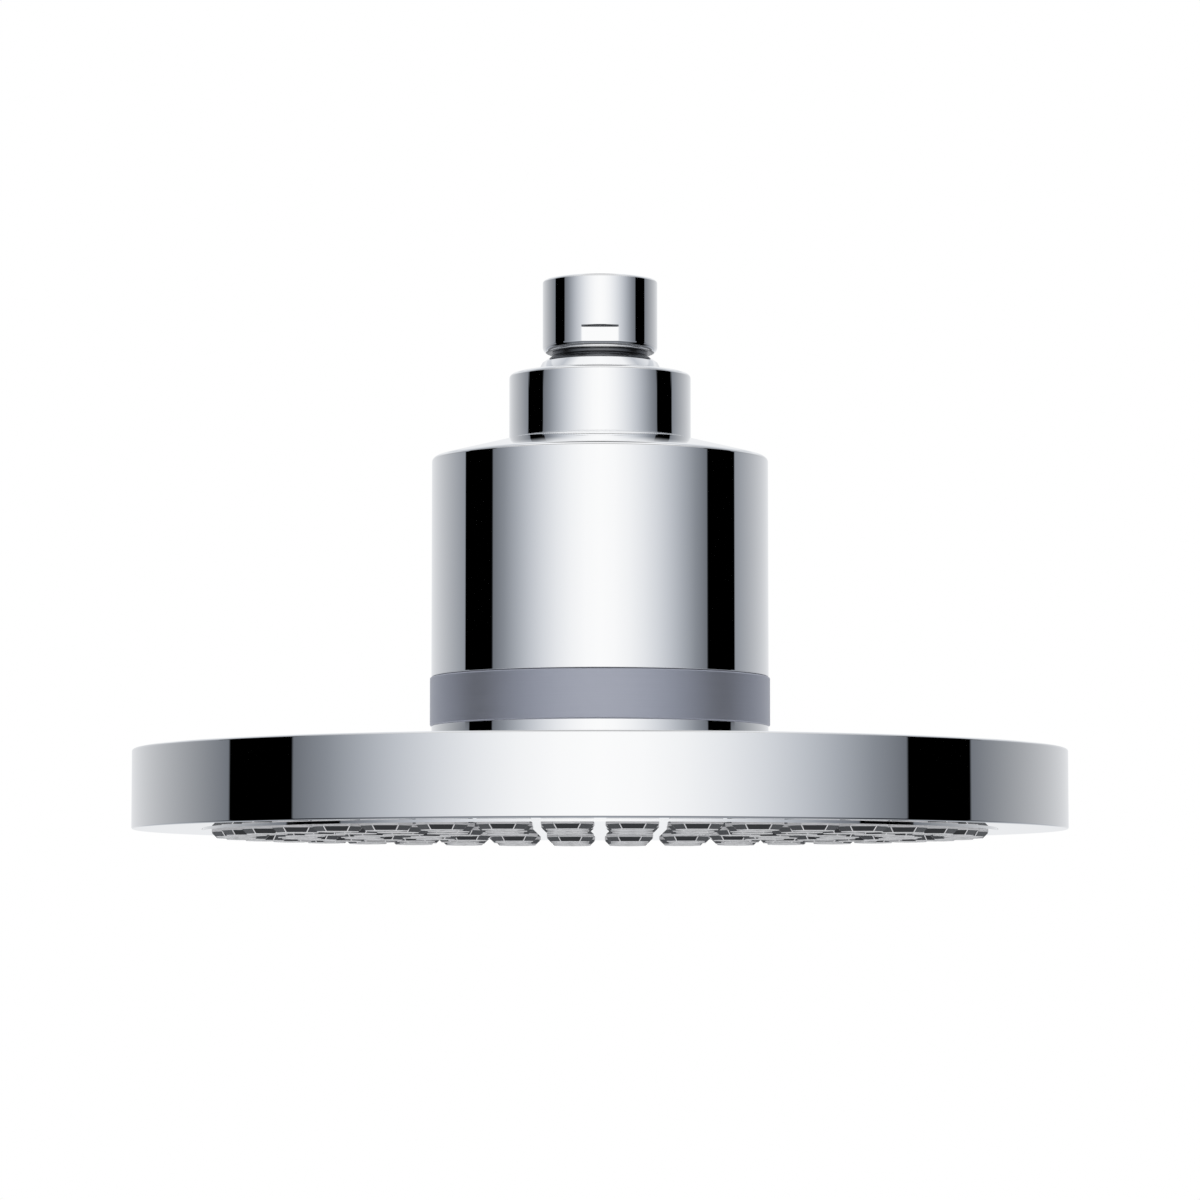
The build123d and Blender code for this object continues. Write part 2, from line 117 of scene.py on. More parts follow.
class ShowerStage(PropertyGroup):
    """Camera, background and light."""

    distance: FloatProperty(
        name="Distance", description="From the camera to the axis of the head",
        default=0.945, unit="LENGTH")
    drop: FloatProperty(
        name="Drop", description="How far the camera is below the nozzle tips",
        default=0.02087, unit="LENGTH")
    pitch: FloatProperty(
        name="Pitch", description="How far the camera looks up",
        default=math.radians(4.37), unit="ROTATION")
    lens: FloatProperty(
        name="Lens", description="Focal length in millimetres", default=132.0)
    floor_drop: FloatProperty(
        name="Floor Drop", description="How far the floor is below the nozzle tips",
        default=1.3, unit="LENGTH")


# Shape helpers


def rounded(corners):
    """Points of a half section whose corners are rounded.

    Each corner is (radius, height, rounding). A corner becomes an arc that is tangent to both of
    its sides: it starts rounding / tan(half the angle) away from the corner, and its centre lies on
    the bisector. One more point on each side keeps the straight stretch flat under smooth shading.
    A corner with no rounding stays as it is.
    """
    count = len(corners)
    points = []
    for index, (radius, height, rounding) in enumerate(corners):
        corner = np.array([radius, height])
        if rounding <= 0:
            points.append(corner)
            continue
        back = np.array(corners[index - 1][:2]) - corner
        ahead = np.array(corners[(index + 1) % count][:2]) - corner
        back_length, ahead_length = np.linalg.norm(back), np.linalg.norm(ahead)
        back, ahead = back / back_length, ahead / ahead_length
        half = math.acos(np.clip(back @ ahead, -1, 1)) / 2
        reach = rounding / math.tan(half)
        bisector = (back + ahead) / np.linalg.norm(back + ahead)
        centre = corner + bisector * rounding / math.sin(half)
        start, end = corner + back * reach - centre, corner + ahead * reach - centre
        first = math.atan2(start[1], start[0])
        turn = (math.atan2(end[1], end[0]) - first + math.pi) % (2 * math.pi) - math.pi
        angles = first + turn * np.linspace(0, 1, ARC_STEPS + 1)
        if reach + SUPPORT < back_length / 2:
            points.append(corner + back * (reach + SUPPORT))
        points.extend(centre + rounding * np.stack([np.cos(angles), np.sin(angles)], 1))
        if reach + SUPPORT < ahead_length / 2:
            points.append(corner + ahead * (reach + SUPPORT))
    return np.array(points)


def arc_points(radius, height, first, last, steps):
    """Corners with no rounding along a circle of this radius about (0, height), by latitude."""
    latitudes = np.radians(np.linspace(first, last, steps))
    return [
        (radius * math.cos(latitude), height + radius * math.sin(latitude), 0.0)
        for latitude in latitudes
    ]


def shape_is_reversed(section):
    """Whether a half section runs clockwise, so that turned() runs through it backwards."""
    radius, height = section[:, 0], section[:, 1]
    return np.sum(radius * np.roll(height, -1) - np.roll(radius, -1) * height) < 0


def turned(section, segments, reshape=None):
    """Vertices and quads of a closed half section carried round the Z axis.

    A vertex is (r cos a, r sin a, z), with r and z along the section and a round the axis. Both
    ways of the grid close on themselves. reshape(r, z, a) may give another r at each vertex.
    """
    radius, height = section[:, 0], section[:, 1]
    if shape_is_reversed(section):
        radius, height = radius[::-1], height[::-1]
    angle = np.arange(segments) * 2 * math.pi / segments
    grid_radius, grid_angle = np.meshgrid(radius, angle, indexing="ij")
    grid_height = np.broadcast_to(height[:, None], grid_radius.shape)
    if reshape is not None:
        grid_radius = reshape(grid_radius, grid_height, grid_angle)
    vertices = np.stack(
        [grid_radius * np.cos(grid_angle), grid_radius * np.sin(grid_angle), grid_height], -1)
    index = np.arange(len(radius) * segments).reshape(len(radius), segments)
    above = np.roll(index, -1, 0)
    quads = np.stack([index, np.roll(index, -1, 1), np.roll(above, -1, 1), above], -1)
    return vertices.reshape(-1, 3), quads.reshape(-1, 4)


def joined(*parts):
    """One list of vertices and one of quads from several pairs of them."""
    offsets = np.cumsum([0] + [len(vertices) for vertices, quads in parts[:-1]])
    return (
        np.concatenate([vertices for vertices, quads in parts]),
        np.concatenate([quads + offset for (vertices, quads), offset in zip(parts, offsets)]),
    )


def piece(name, shape, body, nodes, material, caps=(), second=None, marked=None):
    """A smooth object from vertices and quads that rides on a body and stands for CAD nodes.

    Each of the caps is one more face, a ring of vertices that closes an end. The marked quads, if
    there are any, take the second material.
    """
    vertices, quads = shape
    mesh = bpy.data.meshes.new(name)
    mesh.from_pydata(vertices.tolist(), [], quads.tolist() + [list(cap) for cap in caps])
    mesh.validate()
    mesh.shade_smooth()
    mesh.materials.append(material)
    if second is not None:
        mesh.materials.append(second)
        finishes = np.zeros(len(mesh.polygons), np.int32)
        finishes[:len(marked)] = marked
        mesh.polygons.foreach_set("material_index", finishes)
    made = bpy.data.objects.new(name, mesh)
    bpy.context.scene.collection.objects.link(made)
    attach(made, body)
    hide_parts(*nodes)
    return made


def span(node):
    """Outer radius, lowest height and highest height of a CAD node."""
    low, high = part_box(node)
    return high.x, low.z, high.z


# Materials


def node_maker(tree):
    """A function that adds a node to this tree, sets it up and returns it.

    node(kind, settings, inputs) takes the node's own settings as a dictionary. An input is named as
    Blender names it, or i and its number, and is a plain value or another node's output.
    """

    def node(kind, settings=(), **inputs):
        made = tree.nodes.new(kind)
        for key, value in dict(settings).items():
            setattr(made, key, value)
        for key, value in inputs.items():
            numbered = key[0] == "i" and key[1:].isdigit()
            socket = made.inputs[int(key[1:]) if numbered else key]
            if isinstance(value, bpy.types.NodeSocket):
                tree.links.new(value, socket)
            else:
                socket.default_value = value
        return made

    return node


def finish(name, colour, metallic=0.0, roughness=0.4):
    """A new material: returns it, its shader, its node maker and its node tree."""
    material = bpy.data.materials.new(name)
    material.use_nodes = True
    tree = material.node_tree
    shader = tree.nodes["Principled BSDF"]
    shader.inputs["Base Color"].default_value = (*colour, 1)
    shader.inputs["Metallic"].default_value = metallic
    shader.inputs["Roughness"].default_value = roughness
    return material, shader, node_maker(tree), tree


def grain(node, scale, detail=2.0, stretch=(1, 1, 1)):
    """Soft noise on Object coordinates, this many cells to a metre."""
    place = node("ShaderNodeTexCoord").outputs["Object"]
    stretched = node("ShaderNodeMapping", i0=place, i3=stretch).outputs[0]
    return node("ShaderNodeTexNoise", Vector=stretched, Scale=scale, Detail=detail).outputs["Fac"]


def vary(node, tree, shader, value, low, high):
    """The roughness follows a pattern between two values."""
    spread = node("ShaderNodeMapRange", i0=value, i3=low, i4=high).outputs[0]
    tree.links.new(spread, shader.inputs["Roughness"])


def tint(node, tree, shader, value, dark, light):
    """The base colour follows a pattern between two colours."""
    mix = node("ShaderNodeMix", {"data_type": "RGBA"}, i0=value, i6=(*dark, 1), i7=(*light, 1))
    tree.links.new(mix.outputs[2], shader.inputs["Base Color"])


def bump(node, tree, shader, value, distance, strength=1.0):
    """The surface's normals follow a pattern of this depth in metres."""
    bumped = node("ShaderNodeBump", Strength=strength, Distance=distance, Height=value)
    tree.links.new(bumped.outputs[0], shader.inputs["Normal"])


def shade(colour, factor):
    """A colour made darker or lighter."""
    return tuple(min(1.0, channel * factor) for channel in colour)


def chrome_finish(name, colour):
    """Polished chrome: a mirror with faint wiping marks in its gloss and tone."""
    material, shader, node, tree = finish(name, colour, metallic=1.0)
    marks = grain(node, 90.0, 3.0, (1, 1, 0.35))
    vary(node, tree, shader, marks, 0.003, 0.012)
    tint(node, tree, shader, grain(node, 22.0), shade(colour, 0.993), colour)
    return material


def painted_shade_finish():
    """Painted shade: a dark metal for the step and the neck below the nut that stands in for the
    shade there, with fine tool marks in its gloss and tone.
    """
    # Painted shade: this dark tone stands in for shade in the recesses, not for a darker metal
    colour = (0.16, 0.165, 0.175)
    material, shader, node, tree = finish("painted shade metal", colour, metallic=1.0, roughness=0.3)
    marks = grain(node, 200.0, 3.0, (1, 1, 20))
    vary(node, tree, shader, marks, 0.22, 0.36)
    tint(node, tree, shader, marks, shade(colour, 0.8), shade(colour, 1.2))
    return material


def satin_finish(colour):
    """Satin grey: fine marks round the ring, and a soft wide highlight."""
    material, shader, node, tree = finish("satin grey", colour, metallic=0.85)
    marks = grain(node, 60.0, 4.0, (1, 1, 60))
    vary(node, tree, shader, marks, 0.34, 0.42)
    tint(node, tree, shader, marks, shade(colour, 0.94), shade(colour, 1.03))
    bump(node, tree, shader, marks, 0.000004, 0.4)
    return material


def silicone_finish(name, colour):
    """Moulded silicone: slightly glossy, with a fine matt skin."""
    material, shader, node, tree = finish(name, colour, roughness=0.4)
    skin = grain(node, 1500.0)
    vary(node, tree, shader, skin, 0.17, 0.25)
    tint(node, tree, shader, grain(node, 120.0), shade(colour, 0.85), shade(colour, 1.2))
    bump(node, tree, shader, skin, 0.000004, 0.3)
    return material


def plastic_finish(name, colour, roughness=0.42):
    """Moulded plastic with a faint orange-peel skin."""
    material, shader, node, tree = finish(name, colour, roughness=roughness)
    skin = grain(node, 900.0)
    vary(node, tree, shader, skin, roughness - 0.06, roughness + 0.06)
    tint(node, tree, shader, grain(node, 60.0), shade(colour, 0.94), shade(colour, 1.03))
    bump(node, tree, shader, skin, 0.00002, 0.4)
    return material


def rubber_finish():
    """Black seal rubber with a dusty bloom."""
    colour = (0.025, 0.025, 0.026)
    material, shader, node, tree = finish("seal rubber", colour, roughness=0.6)
    bloom = grain(node, 260.0, 4.0)
    tint(node, tree, shader, bloom, colour, (0.05, 0.05, 0.05))
    vary(node, tree, shader, bloom, 0.5, 0.7)
    return material


def granule_finish(name, dark, light, size, metallic=0.0, roughness=0.6):
    """A bed of grains: rounded cells of this size, each of its own tone."""
    material, shader, node, tree = finish(name, light, metallic=metallic, roughness=roughness)
    place = node("ShaderNodeTexCoord").outputs["Object"]
    cells = node("ShaderNodeTexVoronoi", Vector=place, Scale=1 / size)
    tone = node("ShaderNodeSeparateColor", i0=cells.outputs["Color"]).outputs[0]
    tint(node, tree, shader, tone, dark, light)
    bump(node, tree, shader, cells.outputs["Distance"], -size * 0.5, 0.8)
    return material


def screen_finish():
    """Woven steel: two crossing sets of wires as waves on Object coordinates."""
    colour = (0.62, 0.62, 0.6)
    wires_per_metre = 1600.0
    material, shader, node, tree = finish("screen steel", colour, metallic=1.0, roughness=0.3)
    place = node("ShaderNodeTexCoord").outputs["Object"]
    split = node("ShaderNodeSeparateXYZ", i0=place)
    waves = []
    for axis in (0, 1):
        scaled = node("ShaderNodeMath", {"operation": "MULTIPLY"},
                      i0=split.outputs[axis], i1=wires_per_metre * math.pi).outputs[0]
        waves.append(node("ShaderNodeMath", {"operation": "SINE"}, i0=scaled).outputs[0])
    weave = node("ShaderNodeMath", {"operation": "MULTIPLY"}, i0=waves[0], i1=waves[1]).outputs[0]
    height = node("ShaderNodeMath", {"operation": "ABSOLUTE"}, i0=weave).outputs[0]
    tint(node, tree, shader, height, (0.5, 0.5, 0.5), (0.08, 0.08, 0.08))
    bump(node, tree, shader, height, -0.0002)
    return material


def felt_finish():
    """White needle felt with matted fibres."""
    colour = (0.75, 0.75, 0.73)
    material, shader, node, tree = finish("felt", colour, roughness=0.95)
    fibres = grain(node, 700.0, 6.0, (1, 1, 3))
    tint(node, tree, shader, fibres, (0.55, 0.55, 0.53), (0.85, 0.85, 0.83))
    bump(node, tree, shader, fibres, 0.0003, 0.8)
    return material


def made_once(name, maker, *values):
    """The material of this name, made the first time that it is asked for."""
    found = bpy.data.materials.get(name)
    return found if found is not None else maker(*values)


def chrome():
    """The polished chrome that most pieces share."""
    colour = tuple(bpy.context.scene.shower_colours.chrome)
    return made_once("polished chrome", chrome_finish, "polished chrome", colour)


def painted_shade_metal():
    """Dark metal that paints shade onto the step, the neck and the collar's top face."""
    return made_once("painted shade metal", painted_shade_finish)


def coat_nodes(material, *names):
    """CAD nodes that keep their shape get a material in their object's own slots."""
    for name in names:
        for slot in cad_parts[name].material_slots:
            slot.link = "OBJECT"
            slot.material = material


# Chrome pieces

NUT_RADIUS = 0.0124
NUT_HEIGHT = 0.01575
NUT_ROUND = 0.0014
NUT_TOP_ROUND = 0.0005
FLAT_DISTANCE = 0.01177
FLAT_HEIGHT = 0.0043
SHELF_RISE = 0.00045
STEM_RADIUS = 0.0103
STEM_HEIGHT = 0.00065
BALL_LATITUDES = (-58.0, 29.1)

THREAD_BORE = 0.00932
THREAD_CHAMFER = 0.0008
THREAD_LENGTH = 0.0093
THREAD_ROWS = 80
THREAD_RUN_OUT = 0.0008
THREAD_RUN_IN = 0.0004
GROOVE_RADIUS = 0.0101
GROOVE_HEIGHT = 0.0023
SEAT_RADIUS = 0.0075
SEAT_HEIGHT = 0.003
BALL_BORE = 0.0055


def milled(radius, angle, distance):
    """Radius at each vertex of the nut, with two flats milled across its lower part.

    A flat is the plane |y| = distance, so along it the radius is distance / |sin(angle)|. The
    rounding below the nut is moved in by as much as the flat is, so it follows the flat's foot.
    """
    across = (radius - (NUT_RADIUS - distance)) / np.maximum(np.abs(np.sin(angle)), 0.2)
    return np.minimum(radius, across)


class SHOWER_OT_connector(Operator):
    """Nut with wrench flats and a pipe thread, short stem and ball, turned in one piece."""

    bl_idname = "shower.connector"
    bl_label = "Connector"

    def execute(self, context):
        sizes = context.scene.shower_sizes
        ball_radius, low, top = span("swivel_connector")
        ball_z = low - ball_radius * math.sin(math.radians(BALL_LATITUDES[0]))
        nut_z = top - NUT_HEIGHT
        flat_top = nut_z + FLAT_HEIGHT
        shelf_top = flat_top + SHELF_RISE
        thread_top = top - THREAD_CHAMFER
        thread_z = thread_top - THREAD_LENGTH
        washer_z = thread_z - GROOVE_HEIGHT
        seat_z = washer_z - SEAT_HEIGHT
        ball = arc_points(ball_radius, ball_z, *BALL_LATITUDES, 60)
        ball[-1] = (*ball[-1][:2], SMALL_ROUND)
        shelf = [
            (NUT_RADIUS, height, 0.0)
            for height in (
                flat_top - SUPPORT, *np.linspace(flat_top, shelf_top, 6), shelf_top + SUPPORT)
        ]
        threads = [
            (THREAD_BORE, height, 0.0) for height in np.linspace(thread_top, thread_z, THREAD_ROWS)
        ]
        section = rounded([
            *ball,
            (STEM_RADIUS, nut_z - STEM_HEIGHT, SMALL_ROUND),
            (STEM_RADIUS, nut_z, SMALL_ROUND),
            (NUT_RADIUS, nut_z, NUT_ROUND),
            *shelf,
            (NUT_RADIUS, top, NUT_TOP_ROUND),
            (THREAD_BORE + THREAD_CHAMFER, top, SOFT_CORNER),
            *threads,
            (GROOVE_RADIUS, thread_z, SOFT_CORNER),
            (GROOVE_RADIUS, washer_z, SOFT_CORNER),
            (SEAT_RADIUS, washer_z, SOFT_CORNER),
            (SEAT_RADIUS, seat_z, SOFT_CORNER),
            (BALL_BORE, seat_z, SOFT_CORNER),
            (BALL_BORE, low, SOFT_CORNER),
        ])
        if shape_is_reversed(section):
            section = section[::-1]
        radii, heights = section[:, 0], section[:, 1]
        on_nut = (radii > NUT_RADIUS - NUT_ROUND - TOLERANCE) & (heights > nut_z - TOLERANCE)
        rise = np.clip((heights - flat_top) / SHELF_RISE, 0, 1)
        distance = FLAT_DISTANCE + rise * (NUT_RADIUS - FLAT_DISTANCE)
        on_flat = (on_nut & (distance < NUT_RADIUS - TOLERANCE))[:, None]
        in_bore = (np.abs(radii - THREAD_BORE) < TOLERANCE) & (heights >= thread_z - TOLERANCE)

        def reshape(radius, height, angle):
            cut = np.where(on_flat, milled(radius, angle, distance[:, None]), radius)
            turns = (height - thread_z) / sizes.thread_pitch - angle / (2 * math.pi)
            depth = sizes.thread_depth * (0.5 - 0.5 * np.cos(2 * math.pi * turns))
            run_out = np.clip((height - thread_z) / THREAD_RUN_OUT, 0, 1)
            run_in = np.clip((thread_top - height) / THREAD_RUN_IN, 0, 1)
            return cut + np.where(in_bore[:, None], depth * run_out * run_in, 0)

        segments = sizes.segments * 3 // 2
        beyond = np.roll(heights, -1)
        in_shelf = (heights > flat_top - TOLERANCE) & (heights < shelf_top - TOLERANCE)
        in_shelf &= (beyond > flat_top - TOLERANCE) & (radii > NUT_RADIUS - TOLERANCE)
        turn = (np.arange(segments) + 0.5) * 2 * math.pi / segments
        faces_flat = np.abs(np.sin(turn)) > FLAT_DISTANCE / NUT_RADIUS
        neck_low = nut_z - STEM_HEIGHT - SMALL_ROUND
        in_neck = (heights > neck_low) & (heights < nut_z + SUPPORT)
        in_neck &= (beyond > neck_low) & (beyond < nut_z + 0.0003) & (radii > GROOVE_RADIUS)
        # Painted shade: the neck and the step above each flat take the dark second metal, which
        # stands in for the shade in these recesses
        marked = in_neck[:, None] | (in_shelf[:, None] & faces_flat)
        piece("connector", turned(section, segments, reshape), "connector", ["swivel_connector"],
              chrome(), second=painted_shade_metal(), marked=marked.reshape(-1))
        return {"FINISHED"}


SOCKET_GAP = 0.00015
BALL_DEPTH = 0.0044
LIP_THICKNESS = 0.0014
COLLAR_ROUND = 0.0008


class SHOWER_OT_collar(Operator):
    """Collar round the ball, with a rounded top edge and a lip that follows the ball."""

    bl_idname = "shower.collar"
    bl_label = "Ball Collar"

    def execute(self, context):
        sizes = context.scene.shower_sizes
        radius, low, top = span("retaining_collar")
        socket = span("swivel_connector")[0] + SOCKET_GAP
        ball_z = top - BALL_DEPTH
        lip = top - LIP_THICKNESS
        neck_radius = radius - COLLAR_WALL + FIT
        latitudes = [math.degrees(math.asin((height - ball_z) / socket)) for height in (top, lip)]
        hole = arc_points(socket, ball_z, *latitudes, 8)
        section = rounded([
            (neck_radius, low, SOFT_CORNER),
            (radius, low, SOFT_CORNER),
            (radius, top, COLLAR_ROUND),
            (*hole[0][:2], SOFT_CORNER),
            *hole[1:],
            (neck_radius, lip, SOFT_CORNER),
        ])
        if shape_is_reversed(section):
            section = section[::-1]
        # Painted shade: the collar's top face takes the dark second metal, which stands in for the
        # shade in the gap under the ball
        on_top = section[:, 1] > top - TOLERANCE
        face = np.repeat(on_top & np.roll(on_top, -1), sizes.segments)
        piece("ball_collar", turned(section, sizes.segments), "housing", ["retaining_collar"],
              chrome(), second=painted_shade_metal(), marked=face)
        return {"FINISHED"}


ROOF_THICKNESS = 0.0029
HOUSING_ROUND = 0.0009
NECK_WALL = 0.002
SOCKET_FLOOR_DROP = 0.0065
SOCKET_FLOOR_THICKNESS = 0.002
SOCKET_OPENING = 0.009
RIB_INSET = 0.0013
RIB_WIDTH = 0.002


class SHOWER_OT_housing(Operator):
    """Filter housing: cylinder, conical shoulder and neck, open below."""

    bl_idname = "shower.housing"
    bl_label = "Filter Housing"

    def execute(self, context):
        sizes = context.scene.shower_sizes
        radius, low, neck_top = span("filter_housing")
        collar_radius, collar_low, _ = span("retaining_collar")
        shoulder = collar_low - SHOULDER_RISE
        slope = SHOULDER_RISE / (radius - collar_radius)
        bore = span("filter_base")[0] - SPIGOT_INSET + SCREW_GAP
        neck_radius = collar_radius - COLLAR_WALL
        neck_bore = neck_radius - NECK_WALL
        skirt = neck_bore + NECK_WALL
        floor_low = collar_low - SOCKET_FLOOR_DROP
        seat = floor_low + SOCKET_FLOOR_THICKNESS
        rib_outer = span("cartridge_cup")[0] - RIB_INSET
        rib_inner = rib_outer - RIB_WIDTH
        rib_low = span("cartridge_cap")[2] + FIT

        def roof(at):
            """Height of the inside of the shoulder at this radius."""
            return shoulder + (radius - at) * slope - ROOF_THICKNESS

        corners = [
            (bore, low, SOFT_CORNER),
            (radius, low, SMALL_ROUND),
            (radius, shoulder, HOUSING_ROUND),
            (collar_radius, collar_low, 0.0),
            (neck_radius, collar_low, SOFT_CORNER),
            (neck_radius, neck_top, SOFT_CORNER),
            (neck_bore, neck_top, SOFT_CORNER),
            (neck_bore, seat, SOFT_CORNER),
            (SOCKET_OPENING, seat, SOFT_CORNER),
            (SOCKET_OPENING, floor_low, SOFT_CORNER),
            (skirt, floor_low, SOFT_CORNER),
            (skirt, roof(skirt), SOFT_CORNER),
            (rib_inner, roof(rib_inner), SOFT_CORNER),
            (rib_inner, rib_low, SOFT_CORNER),
            (rib_outer, rib_low, SOFT_CORNER),
            (rib_outer, roof(rib_outer), SOFT_CORNER),
            (bore, roof(bore), SOFT_CORNER),
        ]
        shape = turned(rounded(corners), sizes.segments)
        piece("housing_shell", shape, "housing", ["filter_housing"], chrome())
        return {"FINISHED"}


SPIGOT_WALL = 0.0023
BASE_FLOOR = 0.003
LEDGE_RISE = 0.0045
LEDGE_DEPTH = 0.0035
SEAL_SECTION = 0.0008
SEAL_DROP = 0.0022


class SHOWER_OT_base(Operator):
    """Filter base with its band, spigot and ledge, and the satin grip ring above the band."""

    bl_idname = "shower.base"
    bl_label = "Filter Base"

    def execute(self, context):
        sizes = context.scene.shower_sizes
        radius, low, spigot_top = span("filter_base")
        grip_radius, grip_low, grip_top = span("grip_ring")
        spigot = radius - SPIGOT_INSET
        spigot_bore = spigot - SPIGOT_WALL
        floor_top = low + BASE_FLOOR
        ledge_top = floor_top + LEDGE_RISE
        ledge_bore = spigot_bore - LEDGE_DEPTH
        seal_z = spigot_top - SEAL_DROP
        groove = spigot + SCREW_GAP - FIT - 2 * SEAL_SECTION
        corners = [
            (STUB_HOLE, low, SOFT_CORNER),
            (radius, low, SOFT_CORNER),
            (radius, grip_low, SOFT_CORNER),
            (spigot, grip_low, 0.0),
            (spigot, seal_z - SEAL_SECTION, SOFT_CORNER),
            (groove, seal_z - SEAL_SECTION, SOFT_CORNER),
            (groove, seal_z + SEAL_SECTION, SOFT_CORNER),
            (spigot, seal_z + SEAL_SECTION, SOFT_CORNER),
            (spigot, spigot_top, SOFT_CORNER),
            (spigot_bore, spigot_top, SOFT_CORNER),
            (spigot_bore, ledge_top, SOFT_CORNER),
            (ledge_bore, ledge_top, SOFT_CORNER),
            (ledge_bore, floor_top, SOFT_CORNER),
            (STUB_HOLE, floor_top, SOFT_CORNER),
        ]
        shape = turned(rounded(corners), sizes.segments)
        piece("base_band", shape, "spray_head", ["filter_base"], chrome())
        ring = [
            (spigot + FIT, grip_low, SOFT_CORNER),
            (grip_radius, grip_low, sizes.edge_round),
            (grip_radius, grip_top, sizes.edge_round),
            (spigot + FIT, grip_top, SOFT_CORNER),
        ]
        colour = tuple(context.scene.shower_colours.grip)
        satin = made_once("satin grey", satin_finish, colour)
        shape = turned(rounded(ring), sizes.segments)
        piece("satin_ring", shape, "spray_head", ["grip_ring"], satin)
        return {"FINISHED"}


DISC_WALL = 0.003
DISC_ROUND = 0.0004
LEDGE_HEIGHT = 0.0012
COVER_THICKNESS = 0.002
COVER_LAND = 0.0013
COVER_HUB_WALL = 0.0043
CROWN_SHARE = 0.62
POST_COUNT = 6
POST_RADIUS = 0.0032
POST_BORE = 0.0014
SCREW_LENGTH = 0.0065
CHAMBER_PLATE_THICKNESS = 0.0022


class SHOWER_OT_disc(Operator):
    """Spray disc: the wall with its bottom rim and screw posts, the back cover and the face."""

    bl_idname = "shower.disc"
    bl_label = "Spray Disc"

    def execute(self, context):
        sizes = context.scene.shower_sizes
        radius, low, top = span("disc_body")
        flange, _, mat_z = span("spray_plate")
        cover_edge, hub_low, cover_top = span("back_cover")
        plate_low = span("chamber_screws")[1] + SCREW_LENGTH - CHAMBER_PLATE_THICKNESS
        bore = radius - DISC_WALL
        insert = flange - INSERT_LEDGE
        ledge = low + LEDGE_HEIGHT
        cover_seat = cover_edge + FIT
        corners = [
            (insert + FIT, low, SOFT_CORNER),
            (radius, low, DISC_ROUND),
            (radius, top, DISC_ROUND),
            (cover_seat, top, SOFT_CORNER),
            (cover_seat, top - COVER_THICKNESS, SOFT_CORNER),
            (bore, top - COVER_THICKNESS, SOFT_CORNER),
            (bore, mat_z, SOFT_CORNER),
            (flange + FIT, mat_z, SOFT_CORNER),
            (flange + FIT, ledge, SOFT_CORNER),
            (insert + FIT, ledge, SOFT_CORNER),
        ]
        post_section = rounded([
            (POST_BORE, mat_z - SOFT_CORNER, 0.0),
            (POST_RADIUS, mat_z - SOFT_CORNER, 0.0),
            (POST_RADIUS, plate_low, SOFT_CORNER),
            (POST_BORE, plate_low, SOFT_CORNER),
        ])
        post_vertices, post_quads = turned(post_section, 24)
        turns = np.arange(POST_COUNT) * 2 * math.pi / POST_COUNT
        circle = (flange + bore) / 2
        places = circle * np.stack([np.cos(turns), np.sin(turns), 0 * turns], 1)
        posts = [(post_vertices + place, post_quads) for place in places]
        shape = joined(turned(rounded(corners), sizes.segments), *posts)
        piece("disc_shell", shape, "spray_head", ["disc_body"], chrome())

        land = span("filter_base")[0] + COVER_LAND
        crown_radius = (cover_seat + land) / 2
        crown = top + CROWN_SHARE * (cover_top - top)
        upper = crown_curve((cover_edge, top), (crown_radius, crown), (land, cover_top), 40)
        lower = [(at, height - COVER_THICKNESS) for at, height in reversed(upper)]
        hub = STUB_HOLE + COVER_HUB_WALL
        corners = [
            (*upper[0], SOFT_CORNER),
            *[(*point, 0.0) for point in upper[1:]],
            (STUB_HOLE, cover_top, SOFT_CORNER),
            (STUB_HOLE, hub_low, SOFT_CORNER),
            (hub, hub_low, SOFT_CORNER),
            (hub, cover_top - COVER_THICKNESS, SOFT_CORNER),
            *[(*point, 0.0) for point in lower],
        ]
        shape = turned(rounded(corners), sizes.segments)
        piece("back_dome", shape, "spray_head", ["back_cover"], chrome())

        colour = tuple(context.scene.shower_colours.chrome)
        coat_nodes(chrome_finish("polished face", colour), "spray_plate")
        return {"FINISHED"}


def crown_curve(start, middle, end, steps):
    """Points on the circle through three points, in order from the first to the last."""
    (x1, y1), (x2, y2), (x3, y3) = start, middle, end
    matrix = 2 * np.array([[x2 - x1, y2 - y1], [x3 - x1, y3 - y1]])
    squares = np.array([x2**2 - x1**2 + y2**2 - y1**2, x3**2 - x1**2 + y3**2 - y1**2])
    centre = np.linalg.solve(matrix, squares)
    radius = math.hypot(x1 - centre[0], y1 - centre[1])
    first = math.atan2(y1 - centre[1], x1 - centre[0])
    last = math.atan2(y3 - centre[1], x3 - centre[0])
    angles = np.linspace(first, last, steps)
    return list(zip(centre[0] + radius * np.cos(angles), centre[1] + radius * np.sin(angles)))


# Nozzles

FIRST_RING = 0.0381
LAST_RING_MARGIN = 0.007
RING_COUNT = 4
NOZZLE_ROOT = 0.0053
NOZZLE_SHOULDER = 0.0043
NOZZLE_MOUTH = 0.0015
OUTLET = 0.0006
FACET_TOP = 0.00116
FACET_LOW = 0.0002
CONE_TOP = 0.00004
CONE_LOW = 0.000035


def hexagon_row(circumradius, height, softness):
    """Twelve points of a hexagon whose corners are cut back by softness along both sides.

    The corners lie at every 60 degrees from +X, so a flat side faces the front.
    """
    corner_angles = np.radians(60 * np.arange(6))
    corners = circumradius * np.stack([np.cos(corner_angles), np.sin(corner_angles)], 1)
    to_next = np.roll(corners, -1, 0) - corners
    to_next /= np.linalg.norm(to_next, axis=1)[:, None]
    to_last = np.roll(corners, 1, 0) - corners
    to_last /= np.linalg.norm(to_last, axis=1)[:, None]
    pairs = np.stack([corners + softness * to_last, corners + softness * to_next], 1).reshape(-1, 2)
    return np.column_stack([pairs, np.full(12, height)])


